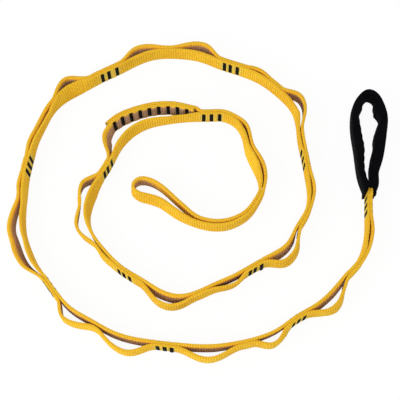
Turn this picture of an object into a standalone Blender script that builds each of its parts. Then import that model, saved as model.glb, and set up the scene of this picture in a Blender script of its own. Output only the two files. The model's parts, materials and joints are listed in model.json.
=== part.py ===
"""Climbing daisy chain lying on a table, its tape standing on edge in a loose coil.

One long ring of ribbed nylon tape is pressed into two strands. Twelve groups of three bar tacks
sew the strands together. The inner strand is taut and the outer one slack, so that eleven clip-in
pockets bulge between the groups. The ring's two ends overlap in the last pocket, where nine bar
tacks splice them. One end of the chain is a harness loop in a fabric sleeve, the other a long
plain end loop. Each of the two end loops folds sideways beside the last stiff group of tacks.

Metres, +Z up. The origin is at the middle of the footprint, on the table.
"""

import math

import bmesh
import bpy
import numpy as np
from mathutils import Matrix, Vector

# Tape: two layers of it lie face to face at every group of tacks.
TAPE_WIDTH = 0.016
TAPE_THICKNESS = 0.0022
SELVEDGE_CHAMFER = 0.0005
FACE_GAP = 0.0003
LANE_PITCH = TAPE_THICKNESS + FACE_GAP

# Bar tacks: a dense bar of thread across both outer faces, and the stitches through the tape.
BAR_THICKNESS = 0.0006
BAR_ROUNDING = 0.0003
BAR_WIDTH = 0.0024
BAR_HEIGHT = 0.0132
BAR_SPACING = 0.0053
STITCHES_WIDTH = 0.0009
STITCHES_HEIGHT = 0.0100

# Splice: the tape's two ends lie over each other in the last pocket. The tucked end stops short of
# the last group of tacks by the step that brings the outer end down beside the inner strand.
SPLICE_BARS = 9
SPLICE_STEP = 0.006
SPLICE_RAW_END_SHARE = 0.272
SPLICE_FIRST_BAR_SETBACK = 0.0039
SPLICE_LAST_BAR_SETBACK = 0.0061

# Sleeve: a loose fabric tube round the harness loop, drawn in at its two mouths.
SLEEVE_WALL = 0.0006
SLEEVE_CLEARANCE = 0.0005
SLEEVE_FULLNESS = 0.0033
SLEEVE_MOUTH_SETBACK = 0.0055
SLEEVE_SIDES = 16
SLEEVE_SQUARENESS = 0.5

# Fold line beside each end group: the loops' tape ends are rounded about it.
FOLD_SETBACK = 0.0005
KNUCKLE_RADIUS = TAPE_THICKNESS + FACE_GAP / 2
KNUCKLE_SEGMENTS = 48

# Stations along the tape: one at every bend of STATION_TURN, and never further apart than this.
STATION_TURN = math.radians(8)
STATION_MOST = 0.010
FINE_STEP = 0.0004
SPLINE_STEPS = 24

# How far every cutter reaches past what it cuts.
OVERRUN = 0.002

# The coil. Places are shares of its span, seen from above and chosen by hand along the tape,
# from the harness loop at the right, clockwise round the coil, to the end loop in the middle.
COIL_SPAN = 0.300
INNER_ROUTE_SHARES = [
    (0.448, 0.027), (0.444, -0.027), (0.442, -0.073), (0.435, -0.117), (0.417, -0.162),
    (0.375, -0.213), (0.332, -0.261), (0.290, -0.295), (0.245, -0.321), (0.201, -0.353),
    (0.154, -0.374), (0.093, -0.389), (0.027, -0.397), (-0.033, -0.395), (-0.100, -0.388),
    (-0.163, -0.379), (-0.220, -0.362), (-0.279, -0.330), (-0.333, -0.297), (-0.373, -0.252),
    (-0.415, -0.193), (-0.443, -0.143), (-0.463, -0.092), (-0.470, -0.043), (-0.468, 0.010),
    (-0.466, 0.057), (-0.457, 0.117), (-0.447, 0.170), (-0.428, 0.220), (-0.408, 0.263),
    (-0.380, 0.295), (-0.337, 0.323), (-0.280, 0.358), (-0.223, 0.388), (-0.170, 0.418),
    (-0.127, 0.433), (-0.067, 0.436), (0.000, 0.426), (0.060, 0.401), (0.113, 0.382),
    (0.173, 0.353), (0.223, 0.310), (0.255, 0.270), (0.268, 0.223), (0.271, 0.180),
    (0.279, 0.127), (0.288, 0.067), (0.292, 0.017), (0.280, -0.037), (0.251, -0.086),
    (0.228, -0.127), (0.190, -0.155), (0.140, -0.183), (0.087, -0.214), (0.040, -0.235),
    (-0.010, -0.258), (-0.053, -0.267), (-0.097, -0.256), (-0.142, -0.229), (-0.207, -0.187),
    (-0.248, -0.146), (-0.280, -0.100), (-0.297, -0.050), (-0.291, 0.000), (-0.274, 0.046),
    (-0.245, 0.097), (-0.222, 0.148), (-0.192, 0.188), (-0.150, 0.217), (-0.093, 0.233),
    (-0.027, 0.241), (0.033, 0.242), (0.070, 0.240), (0.101, 0.220), (0.119, 0.186),
    (0.125, 0.150), (0.140, 0.107), (0.157, 0.067), (0.162, 0.033), (0.150, 0.002),
    (0.127, -0.032), (0.093, -0.056), (0.057, -0.067), (0.027, -0.067),
]
BIGHT_SHARES = [
    (-0.003, -0.057), (-0.032, -0.033), (-0.067, 0.000), (-0.103, 0.034), (-0.140, 0.054),
    (-0.168, 0.054), (-0.181, 0.037), (-0.168, 0.015), (-0.137, 0.001), (-0.103, -0.014),
    (-0.070, -0.038), (-0.032, -0.058),
]
HARNESS_LOOP_SHARES = [
    (0.435, 0.067), (0.432, 0.105), (0.429, 0.148), (0.425, 0.184), (0.425, 0.231),
    (0.432, 0.267), (0.446, 0.291), (0.464, 0.303), (0.480, 0.295), (0.492, 0.272),
    (0.499, 0.237), (0.494, 0.196), (0.485, 0.148), (0.474, 0.102), (0.464, 0.067),
]

# Where each group of tacks sits along the inner route, as shares of the route's length.
TACK_PLACE_SHARES = [
    0.0104, 0.0960, 0.1752, 0.2526, 0.3323, 0.4143, 0.4955, 0.5789, 0.6608, 0.7429, 0.8178, 0.8969,
]

# The step from the first bar to the second and on to the third, by group, in BAR_SPACING.
BAR_STEP_SHARES = [
    (1.05, 1.10), (1.00, 1.00), (1.00, 1.00), (1.00, 1.00), (1.10, 1.05), (1.12, 1.38),
    (0.97, 1.15), (1.10, 1.10), (1.08, 0.85), (1.00, 0.85), (0.92, 1.18), (1.18, 1.30),
]

# The slack of the outer strand in each pocket: its bulges, each a place along the pocket, how far
# the bulge rises before that place and falls after it, and how far it stands off the inner strand.
# All are shares of that pocket's length.
POCKET_BULGE_SHARES = [
    [(0.200, 0.13, 0.43, 0.014), (0.748, 0.22, 0.19, 0.0745)],
    [(0.239, 0.16, 0.13, 0.054), (0.691, 0.25, 0.24, 0.067)],
    [(0.272, 0.21, 0.30, 0.081), (0.754, 0.28, 0.13, 0.066)],
    [(0.262, 0.20, 0.20, 0.064), (0.490, 0.25, 0.30, 0.075), (0.820, 0.14, 0.12, 0.011)],
    [(0.150, 0.09, 0.15, 0.010), (0.685, 0.17, 0.18, 0.083)],
    [(0.275, 0.17, 0.22, 0.048), (0.753, 0.25, 0.16, 0.061)],
    [(0.211, 0.12, 0.13, 0.017), (0.558, 0.14, 0.22, 0.065)],
    [(0.238, 0.15, 0.15, 0.012), (0.768, 0.25, 0.165, 0.074)],
    [(0.190, 0.12, 0.16, 0.021), (0.652, 0.20, 0.23, 0.057)],
    [(0.230, 0.15, 0.15, 0.010), (0.495, 0.22, 0.20, 0.074), (0.789, 0.25, 0.14, 0.081)],
    [(0.239, 0.18, 0.55, 0.113), (0.680, 0.30, 0.25, 0.046)],
]
RETURN_BULGE_SHARES = [(0.380, 0.30, 0.22, 0.046)]

# How far the sleeve's walls stand off at places along it, from its mouth at the inner strand to
# the other: each row is the place, the wall outside the loop, and the looser wall inside it.
SLEEVE_FULLNESS_SHARES = [
    (0.00, 0.20, 0.00), (0.08, 0.24, 0.40), (0.14, 0.28, 0.52), (0.20, 0.30, 0.33),
    (0.26, 0.36, 0.40), (0.33, 0.42, 0.02), (0.40, 0.36, 0.50), (0.46, 0.12, 0.15),
    (0.54, 0.02, 0.00), (0.60, 0.12, 0.75), (0.67, 0.30, 0.02), (0.74, 0.40, 0.94),
    (0.80, 0.45, 0.80), (0.86, 0.48, 0.45), (0.93, 0.48, 0.70), (1.00, 0.30, 0.00),
]

# The groups of tacks under whose middle bar each strand is parted into separate pieces.
INNER_PARTINGS = (0, 4, 8, 11)
OUTER_PARTINGS = (0, 2, 4, 6, 8, 10)


def clear_scene():
    for obj in list(bpy.data.objects):
        bpy.data.objects.remove(obj)


def collection(name, shown):
    group = bpy.data.collections.new(name)
    group.hide_render = not shown
    bpy.context.scene.collection.children.link(group)
    return group


def material(name, colour, roughness):
    made = bpy.data.materials.new(name)
    made.use_nodes = True
    shader = made.node_tree.nodes["Principled BSDF"]
    shader.inputs["Base Color"].default_value = (*colour, 1.0)
    shader.inputs["Roughness"].default_value = roughness
    shader.inputs["Metallic"].default_value = 0.0
    return made


def smooth_line(points):
    """Fine points along the natural cubic spline through these points."""
    points = np.array(points, float)
    steps = np.hypot(*np.diff(points, axis=0).T)
    count = len(points)
    system = np.zeros((count, count))
    right = np.zeros((count, 2))
    system[0, 0] = system[-1, -1] = 1.0
    for i in range(1, count - 1):
        system[i, i - 1 : i + 2] = steps[i - 1], 2 * (steps[i - 1] + steps[i]), steps[i]
        right[i] = 6 * (points[i + 1] - points[i]) / steps[i]
        right[i] -= 6 * (points[i] - points[i - 1]) / steps[i - 1]
    bends = np.linalg.solve(system, right)
    line = []
    for i in range(count - 1):
        after = np.linspace(0.0, steps[i], SPLINE_STEPS, endpoint=False)[:, None]
        before = steps[i] - after
        cubic = (bends[i] * before**3 + bends[i + 1] * after**3) / (6 * steps[i])
        start = (points[i] / steps[i] - bends[i] * steps[i] / 6) * before
        end = (points[i + 1] / steps[i] - bends[i + 1] * steps[i] / 6) * after
        line.append(cubic + start + end)
    line.append(points[-1:])
    return np.concatenate(line)


def lengths_along(line):
    return np.concatenate([[0.0], np.cumsum(np.hypot(*np.diff(line, axis=0).T))])


def fine_places(start, end):
    return np.linspace(start, end, math.ceil(abs(end - start) / FINE_STEP) + 1)


class Lane:
    """A line seen from above, read by the length along it and the offset to its left."""

    def __init__(self, line):
        self.line = line
        self.along = lengths_along(line)
        self.length = self.along[-1]
        slope = np.gradient(line, self.along, axis=0)
        self.slope = slope / np.hypot(*slope.T)[:, None]

    def read(self, values, places):
        return np.stack([np.interp(places, self.along, values[:, k]) for k in (0, 1)], axis=-1)

    def heading(self, place):
        heading = self.read(self.slope, place)
        return heading / np.hypot(*heading)

    def at(self, places, offsets):
        slope = self.read(self.slope, places)
        left = np.stack([-slope[..., 1], slope[..., 0]], axis=-1)
        return self.read(self.line, places) + left * np.asarray(offsets)[..., None]


def stations(line):
    """The points of a fine line that a faceted sweep needs."""
    kept = [0]
    heading = line[1] - line[0]
    for i in range(1, len(line) - 1):
        ahead = line[i + 1] - line[i]
        turned = math.atan2(*ahead) - math.atan2(*heading)
        turned = abs(math.remainder(turned, 2 * math.pi))
        if turned >= STATION_TURN or np.hypot(*(line[i] - line[kept[-1]])) >= STATION_MOST:
            kept.append(i)
            heading = ahead
    return line[kept + [len(line) - 1]]


def between(line, start, end):
    """The stretch of a fine line from one length along it to another."""
    along = lengths_along(line)
    inside = line[(along > start) & (along < end)]
    tips = [[np.interp(place, along, line[:, k]) for k in (0, 1)] for place in (start, end)]
    return np.concatenate([tips[:1], inside, tips[1:]])


def bulge(share, shares):
    """How far the slack strand stands off at a share of its stretch: the sum of its bulges."""
    total = np.zeros_like(share)
    for middle, rise, fall, height in shares:
        reach = np.where(share < middle, rise, fall)
        away = np.clip(np.abs(share - middle) / reach, 0.0, 1.0)
        total += height * np.cos(away * math.pi / 2) ** 2
    return total


def turned_to(middle, heading):
    """The frame on the tape's mid-height at this place: X along the tape, Y to its left."""
    turn = Matrix.Rotation(math.atan2(heading[1], heading[0]), 4, "Z")
    return Matrix.Translation(Vector((*middle, TAPE_WIDTH / 2))) @ turn


def new_piece(name, data, group):
    made = bpy.data.objects.new(name, data)
    group.objects.link(made)
    return made


def as_guide(made, group):
    for holder in list(made.users_collection):
        holder.objects.unlink(made)
    group.objects.link(made)
    made.display_type = "WIRE"
    made.hide_render = True
    return made


def tape_profile(group):
    """The tape's section, drawn once: its width upright, its selvedges chamfered."""
    curve = bpy.data.curves.new("tape_profile", "CURVE")
    curve.dimensions = "2D"
    curve.fill_mode = "NONE"
    spline = curve.splines.new("POLY")
    half_x, half_y = TAPE_THICKNESS / 2, TAPE_WIDTH / 2
    edge_x, edge_y = half_x - SELVEDGE_CHAMFER, half_y - SELVEDGE_CHAMFER
    corners = [(half_x, edge_y), (edge_x, half_y), (-edge_x, half_y), (-half_x, edge_y)]
    corners += [(-x, -y) for x, y in corners]
    spline.points.add(len(corners) - 1)
    for point, (x, y) in zip(spline.points, corners):
        point.co = (x, y, 0.0, 1.0)
    spline.use_cyclic_u = True
    return as_guide(new_piece("tape_profile", curve, group), group)


def tape(name, line, profile, look, group, rise=None):
    """A stretch of tape on edge: the profile swept along a line seen from above, as a mesh."""
    points = stations(line)
    along = lengths_along(points)
    curve = bpy.data.curves.new(name, "CURVE")
    curve.dimensions = "3D"
    curve.twist_mode = "Z_UP"
    curve.bevel_mode = "OBJECT"
    curve.bevel_object = profile
    curve.use_fill_caps = True
    spline = curve.splines.new("POLY")
    spline.points.add(len(points) - 1)
    for point, (x, y), place in zip(spline.points, points, along):
        lift = rise(place, along[-1]) if rise else 0.0
        point.co = (x, y, TAPE_WIDTH / 2 + lift, 1.0)
    curve.materials.append(look)
    swept = new_piece(name, curve, group)
    bpy.context.view_layer.update()
    evaluated = swept.evaluated_get(bpy.context.evaluated_depsgraph_get())
    mesh = bpy.data.meshes.new_from_object(evaluated)
    place = swept.matrix_world.copy()
    bpy.data.objects.remove(swept)
    welded = bmesh.new()
    welded.from_mesh(mesh)
    bmesh.ops.remove_doubles(welded, verts=welded.verts, dist=FACE_GAP / 100)
    bmesh.ops.recalc_face_normals(welded, faces=welded.faces)
    welded.to_mesh(mesh)
    welded.free()
    made = new_piece(name, mesh, group)
    made.matrix_world = place
    return made


def cut(piece, cutter):
    boolean = piece.modifiers.new(cutter.name, "BOOLEAN")
    boolean.operation = "DIFFERENCE"
    boolean.solver = "EXACT"
    boolean.object = cutter


def upright_cylinder(name, middle, radius, group):
    bpy.ops.mesh.primitive_cylinder_add(
        vertices=KNUCKLE_SEGMENTS,
        radius=radius,
        depth=TAPE_WIDTH + 4 * OVERRUN,
        location=(*middle, TAPE_WIDTH / 2),
    )
    bpy.context.object.name = name
    return as_guide(bpy.context.object, group)


def knuckle_cutters(name, middle, towards_chain, group):
    """Two cutters for a fold line: a socket in the chain's tape, a round on the loop's tape."""
    socket = upright_cylinder(name + "_socket", middle, KNUCKLE_RADIUS + FACE_GAP, group)
    core = upright_cylinder(name + "_core", middle, KNUCKLE_RADIUS, group)
    reach = KNUCKLE_RADIUS + OVERRUN
    back = Matrix.Translation((reach / 2, 0.0, 0.0))
    size = Matrix.Diagonal((reach, 2 * reach, TAPE_WIDTH + 2 * OVERRUN, 1.0))
    bpy.ops.mesh.primitive_cube_add(size=1.0)
    block = as_guide(bpy.context.object, group)
    block.name = name + "_round"
    block.data.transform(turned_to(middle, towards_chain) @ back @ size)
    cut(block, core)
    return socket, block


def bar_tack(name, middle, heading, look, group):
    """A bar tack: its stitches through two layers of tape, and its bar of thread on each face."""
    mesh = bmesh.new()
    depth = 2 * (LANE_PITCH + FACE_GAP / 2)
    size = Matrix.Diagonal((STITCHES_WIDTH, depth, STITCHES_HEIGHT, 1.0))
    bmesh.ops.create_cube(mesh, size=1.0, matrix=size)
    mesh.normal_update()
    ends = [face for face in mesh.faces if abs(face.normal.y) > 0.5]
    for face in ends:
        out = face.normal.copy()
        widths = (BAR_WIDTH, BAR_WIDTH, BAR_WIDTH - 2 * BAR_ROUNDING)
        heights = (BAR_HEIGHT, BAR_HEIGHT, BAR_HEIGHT - 2 * BAR_ROUNDING)
        steps = (0.0, BAR_THICKNESS - BAR_ROUNDING, BAR_ROUNDING)
        before = (STITCHES_WIDTH, STITCHES_HEIGHT)
        for width, height, step in zip(widths, heights, steps):
            face = bmesh.ops.extrude_discrete_faces(mesh, faces=[face])["faces"][0]
            share = Vector((width / before[0], 1.0, height / before[1]))
            bmesh.ops.scale(mesh, vec=share, verts=face.verts)
            bmesh.ops.translate(mesh, vec=out * step, verts=face.verts)
            before = (width, height)
    bmesh.ops.recalc_face_normals(mesh, faces=mesh.faces)
    data = bpy.data.meshes.new(name)
    mesh.to_mesh(data)
    mesh.free()
    data.transform(turned_to(middle, heading))
    data.materials.append(look)
    return new_piece(name, data, group)


def stitch_slots(name, bars, group):
    """One cutter for all the slots in a stretch of tape that its bar tacks' stitches go through."""
    mesh = bmesh.new()
    width = STITCHES_WIDTH + 2 * FACE_GAP
    height = STITCHES_HEIGHT + 2 * FACE_GAP
    size = Matrix.Diagonal((width, 2 * LANE_PITCH + OVERRUN, height, 1.0))
    for middle, heading in bars:
        bmesh.ops.create_cube(mesh, size=1.0, matrix=turned_to(middle, heading) @ size)
    data = bpy.data.meshes.new(name)
    mesh.to_mesh(data)
    mesh.free()
    return as_guide(new_piece(name, data, group), group)


def sleeve_mouth_width():
    return TAPE_THICKNESS + 2 * (SLEEVE_CLEARANCE + SLEEVE_WALL)


def sleeve(name, line, look, group):
    """A loose tube lofted along the harness loop, with an open mouth at each end."""
    points = stations(line)
    along = lengths_along(points)
    places, *walls = np.array(SLEEVE_FULLNESS_SHARES).T
    outside, inside = (
        sleeve_mouth_width() / 2 + SLEEVE_FULLNESS * np.interp(along / along[-1], places, wall)
        for wall in walls
    )
    slopes = np.gradient(points, along, axis=0)
    half_height = TAPE_WIDTH / 2 + SLEEVE_CLEARANCE + SLEEVE_WALL
    corner = math.cos(math.pi / SLEEVE_SIDES) ** SLEEVE_SQUARENESS
    mesh = bmesh.new()
    rings = []
    for (x, y), (run_x, run_y), outer, inner in zip(points, slopes, outside, inside):
        out = Vector((-run_y, run_x, 0.0)).normalized()
        ring = []
        for k in range(SLEEVE_SIDES):
            angle = 2 * math.pi * (k + 0.5) / SLEEVE_SIDES
            side, up = math.cos(angle), math.sin(angle)
            side = math.copysign(abs(side) ** SLEEVE_SQUARENESS, side) / corner
            up = math.copysign(abs(up) ** SLEEVE_SQUARENESS, up) / corner
            away = out * side * (outer if side > 0 else inner)
            point = Vector((x, y, half_height * (1 + up))) + away
            ring.append(mesh.verts.new(point))
        rings.append(ring)
    for near, far in zip(rings, rings[1:]):
        for k in range(SLEEVE_SIDES):
            after = (k + 1) % SLEEVE_SIDES
            mesh.faces.new((near[k], near[after], far[after], far[k]))
    data = bpy.data.meshes.new(name)
    mesh.to_mesh(data)
    mesh.free()
    data.materials.append(look)
    made = new_piece(name, data, group)
    wall = made.modifiers.new("wall", "SOLIDIFY")
    wall.thickness = SLEEVE_WALL
    wall.offset = -1.0
    return made


def harness_rise(place, length):
    """Inside the sleeve the harness loop's tape lies on the sleeve's lower wall."""
    lead = min(place, length - place) - KNUCKLE_RADIUS
    share = min(max(lead / SLEEVE_MOUTH_SETBACK, 0.0), 1.0)
    return (SLEEVE_WALL + SLEEVE_CLEARANCE) * share


def empty(name, place, parent):
    made = bpy.data.objects.new(name, None)
    bpy.context.scene.collection.objects.link(made)
    made.location = place
    made.parent = parent
    return made


def build():
    clear_scene()
    chain = collection("climbing_daisy_chain", True)
    guides = collection("cutters_and_profiles", False)
    yellow = material("golden_yellow_tape", (0.78, 0.45, 0.03), 0.75)
    black = material("black_thread", (0.012, 0.010, 0.010), 0.65)
    fabric = material("black_sleeve_fabric", (0.008, 0.009, 0.011), 0.85)
    profile = tape_profile(guides)

    # Places along the inner strand: the groups of tacks, the two fold lines, the splice's ends
    route = Lane(smooth_line([(x * COIL_SPAN, y * COIL_SPAN) for x, y in INNER_ROUTE_SHARES]))
    tacks = [share * route.length for share in TACK_PLACE_SHARES]
    groups = [
        (tack - before * BAR_SPACING, tack, tack + after * BAR_SPACING)
        for tack, (before, after) in zip(tacks, BAR_STEP_SHARES)
    ]
    fold_reach = BAR_WIDTH / 2 + FOLD_SETBACK + FACE_GAP + KNUCKLE_RADIUS
    folds = (groups[0][0] - fold_reach, groups[-1][-1] + fold_reach)
    splice_start, splice_length = tacks[-2], tacks[-1] - tacks[-2]
    raw_end = splice_start + SPLICE_RAW_END_SHARE * splice_length
    tucked_end = groups[-1][0] - BAR_WIDTH / 2 - SPLICE_STEP - FACE_GAP

    def slack(places):
        total = np.zeros_like(places)
        for start, end, bulges in zip(tacks, tacks[1:], POCKET_BULGE_SHARES):
            total += bulge((places - start) / (end - start), bulges) * (end - start)
        return total

    def slack_line(start, end, layers_out=None):
        places = fine_places(start, end)
        offsets = LANE_PITCH + slack(places)
        if layers_out:
            offsets = offsets + LANE_PITCH * layers_out(places)
        return route.at(places, offsets)

    def stepped_in(places):
        share = np.clip((places - tucked_end - FACE_GAP) / SPLICE_STEP, 0.0, 1.0)
        return 0.5 + 0.5 * np.cos(share * math.pi)

    def stretch(first, last):
        start = tacks[first] + FACE_GAP / 2 if first else folds[0]
        end = tacks[last] - FACE_GAP / 2 if last < len(tacks) - 1 else folds[1]
        return start, end

    # The inner strand, taut, in three pieces
    strands = []
    for first, last in zip(INNER_PARTINGS, INNER_PARTINGS[1:]):
        start, end = stretch(first, last)
        name = f"inner_strand_pockets_{first + 1:02d}_to_{last:02d}"
        line = route.at(fine_places(start, end), 0.0)
        strands.append((tape(name, line, profile, yellow, chain), start, end, False))

    # The outer strand, slack, in pairs of pockets, and the ring's two overlapped ends
    for first, last in zip(OUTER_PARTINGS, OUTER_PARTINGS[1:]):
        start, end = stretch(first, last)
        name = f"outer_strand_pockets_{first + 1:02d}_{last:02d}"
        strands.append((tape(name, slack_line(start, end), profile, yellow, chain), start, end, False))
    start = tacks[-2] + FACE_GAP / 2
    tucked = tape("splice_tucked_end", slack_line(start, tucked_end), profile, yellow, chain)
    strands.append((tucked, start, tucked_end, True))
    outside_line = slack_line(raw_end, folds[1], stepped_in)
    outside = tape("splice_outer_end", outside_line, profile, yellow, chain)
    strands.append((outside, raw_end, folds[1], True))

    # Bar tacks: three at each group, nine on the splice
    bars = []
    for i, group in enumerate(groups):
        for k, place in enumerate(group):
            middle = route.at(np.array(place), np.array(LANE_PITCH / 2))
            name = f"group_{i + 1:02d}_bar_tack_{k + 1}"
            bars.append((name, place, middle, route.heading(place), False))
    places = fine_places(tacks[-2], tacks[-1])
    lane = Lane(route.at(places, LANE_PITCH + slack(places)))
    ends = [
        np.interp(place, places, lane.along)
        for place in (raw_end + SPLICE_FIRST_BAR_SETBACK, tucked_end - SPLICE_LAST_BAR_SETBACK)
    ]
    for k, along in enumerate(np.linspace(*ends, SPLICE_BARS)):
        middle = lane.at(np.array(along), np.array(LANE_PITCH / 2))
        place = np.interp(along, lane.along, places)
        bars.append((f"splice_bar_tack_{k + 1}", place, middle, lane.heading(along), True))
    for name, _, middle, heading, _ in bars:
        bar_tack(name, middle, heading, black, chain)
    for strand, start, end, spliced in strands:
        through = [
            (middle, heading)
            for _, place, middle, heading, on_splice in bars
            if start - BAR_WIDTH < place < end + BAR_WIDTH and (spliced or not on_splice)
        ]
        cut(strand, stitch_slots(strand.name + "_slots", through, guides))

    # Harness loop: out of the inner lane, round inside its sleeve, and back into the outer lane
    fold_middles = [route.at(np.array(fold), np.array(LANE_PITCH / 2)) for fold in folds]
    towards_chain = [route.heading(folds[0]), -route.heading(folds[1])]
    ahead = -towards_chain[0]
    left = np.array([ahead[1], -ahead[0]])
    legs = []
    for side in (-1, 1):
        lane = fold_middles[0] + left * side * LANE_PITCH / 2
        apart = left * side * (sleeve_mouth_width() + FACE_GAP) / 2
        mouth = fold_middles[0] + ahead * SLEEVE_MOUTH_SETBACK + apart
        straight = [lane + ahead * KNUCKLE_RADIUS * share for share in (-1.0, 0.0, 1.0)]
        legs.append([*straight, mouth])
    loop_points = [(x * COIL_SPAN, y * COIL_SPAN) for x, y in HARNESS_LOOP_SHARES]
    harness_line = smooth_line([*legs[0], *loop_points, *legs[1][::-1]])
    harness = tape("harness_loop_webbing", harness_line, profile, yellow, chain, harness_rise)
    lead = KNUCKLE_RADIUS + SLEEVE_MOUTH_SETBACK
    covered = between(harness_line, lead, lengths_along(harness_line)[-1] - lead)
    cover = sleeve("protective_sleeve", covered, fabric, chain)

    # End loop: along the route, round the bight, and back beside the first run
    places = fine_places(folds[1] - KNUCKLE_RADIUS, route.length)
    run_length = route.length - folds[1]
    slack_back = bulge((places - folds[1]) / run_length, RETURN_BULGE_SHARES) * run_length
    outgoing = route.at(places, 0.0)[::SPLINE_STEPS]
    back = route.at(places, LANE_PITCH + slack_back)[::SPLINE_STEPS][::-1]
    bight = [(x * COIL_SPAN, y * COIL_SPAN) for x, y in BIGHT_SHARES]
    end_line = smooth_line([*outgoing, *bight, *back])
    end_loop = tape("end_loop_webbing", end_line, profile, yellow, chain)

    # Fold lines: sockets in the chain's tape, rounded ends on the loops' tape
    names = ("harness_fold", "end_fold")
    sides = ((folds[0], harness), (folds[1], end_loop))
    for name, middle, towards, (fold, loop) in zip(names, fold_middles, towards_chain, sides):
        socket, rounding = knuckle_cutters(name, middle, towards, guides)
        cut(loop, rounding)
        for strand, start, end, _ in strands:
            if fold in (start, end):
                cut(strand, socket)

    # The origin goes to the middle of the footprint, and each loop hangs from its fold line
    bpy.context.view_layer.update()
    depsgraph = bpy.context.evaluated_depsgraph_get()
    corners = []
    for piece in chain.objects:
        evaluated = piece.evaluated_get(depsgraph)
        corners += [evaluated.matrix_world @ Vector(corner) for corner in evaluated.bound_box]
    low, high = (np.array([pick(axis) for axis in zip(*corners)]) for pick in (min, max))
    middle = ((low[0] + high[0]) / 2, (low[1] + high[1]) / 2, low[2])
    origin = empty("coil_origin", -Vector(middle), None)
    moving = {harness: 0, cover: 0, end_loop: 1}
    holders = [
        empty(name + "_line", (*middle, 0.0), origin) for name, middle in zip(names, fold_middles)
    ]
    for piece in [*chain.objects, *guides.objects]:
        if piece in moving:
            piece.parent = holders[moving[piece]]
            piece.location = -piece.parent.location
        else:
            piece.parent = origin


build()
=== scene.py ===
import json
import math

import bmesh
import bpy
import numpy as np
from mathutils import Matrix, Vector


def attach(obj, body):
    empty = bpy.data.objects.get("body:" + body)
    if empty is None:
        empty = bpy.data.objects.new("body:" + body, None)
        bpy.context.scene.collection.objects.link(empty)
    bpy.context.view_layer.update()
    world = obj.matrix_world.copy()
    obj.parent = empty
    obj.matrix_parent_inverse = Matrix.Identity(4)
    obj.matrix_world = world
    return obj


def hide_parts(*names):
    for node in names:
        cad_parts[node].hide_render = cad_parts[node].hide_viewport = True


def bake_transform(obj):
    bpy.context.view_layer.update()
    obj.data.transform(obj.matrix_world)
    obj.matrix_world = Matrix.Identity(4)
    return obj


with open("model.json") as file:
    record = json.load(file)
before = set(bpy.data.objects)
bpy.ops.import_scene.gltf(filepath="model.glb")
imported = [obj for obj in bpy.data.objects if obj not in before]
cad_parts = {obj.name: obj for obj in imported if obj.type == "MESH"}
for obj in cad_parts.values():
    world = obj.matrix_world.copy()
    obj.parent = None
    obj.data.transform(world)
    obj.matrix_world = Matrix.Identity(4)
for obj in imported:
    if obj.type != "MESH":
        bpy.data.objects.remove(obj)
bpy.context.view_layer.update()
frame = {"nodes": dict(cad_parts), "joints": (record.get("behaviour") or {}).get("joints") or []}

# Inner strand: the taut side of the ring. One nylon tape 16 mm wide, woven with ribs across it,
# stands on its edge and runs from the first group of tacks to the last, once and a half round the
# coil. The tape is golden outside and brown on the side that faces into the ring.
TAPE_WIDTH = 0.016
TAPE_THICKNESS = 0.0022
FACE_GAP = 0.0003
LANE_PITCH = TAPE_THICKNESS + FACE_GAP
WOVEN_THICKNESS = 0.00248
SELVEDGE_ROUNDING = 0.0004
RIB_PITCH = 0.0020
RINGS_PER_RIB = 6
RIB_DEPTH = 0.00026
# How much shallower the ribs are on the brown side and by the tacks, and their depth on the edges
RIB_EASE_INSIDE = 0.7
RIB_EASE_AT_TACKS = 0.5
RIB_SHARE_ON_EDGES = 0.45
FACE_CUTS = 4
BAR_WIDTH = 0.0024
BAR_SPACING = 0.0053
TACK_PRESS = 0.0004
PRESS_REACH = 0.9 * BAR_WIDTH
PALE_REACH = 1.4 * BAR_WIDTH
SEALED_LENGTH = 0.0016
SEALED_SWELL = 0.16
WELD_GAP = 1e-6
YARN_PITCH = 0.00055
FACES_APART = 0.01
NOISE_ROUGHNESS = 0.55
# How far the brown reaches over and under the middle of the tape, in half widths. Past it the
# inward face shows its borders in painted light; the upper border's height follows where light
# falls on that face.
BROWN_TOP_SHARE = 0.44
BROWN_FOOT_SHARE = 0.86
GOLD_DEEP, GOLD_BRIGHT = (0.78, 0.445, 0.018), (0.87, 0.54, 0.026)
# Painted shade: the groove colours darken the grooves between the ribs
GOLD_GROOVE_PAINTED_SHADE, GOLD_FIBRE = (0.50, 0.25, 0.006), (0.97, 0.72, 0.08)
GOLD_SELVEDGE, GOLD_TACKED = (0.62, 0.36, 0.020), (0.60, 0.53, 0.12)
BROWN_DEEP, BROWN_PALE = (0.55, 0.33, 0.195), (0.70, 0.45, 0.28)
BROWN_GROOVE_PAINTED_SHADE, BROWN_FIBRE = (0.26, 0.15, 0.10), (0.72, 0.38, 0.07)
BROWN_TACKED, SINGED = (0.24, 0.17, 0.09), (0.16, 0.07, 0.015)
# Painted light: the borders of the inward face are a lighter, more orange gold, as if lit through
# the tape; their groove colour is painted shade
AMBER_PAINTED_LIGHT, AMBER_GROOVE_PAINTED_SHADE = (1.0, 0.60, 0.06), (0.80, 0.38, 0.03)
SPLINE_STEPS = 24
FINE_STEP = 0.0004
COIL_SPAN = 0.300
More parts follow.
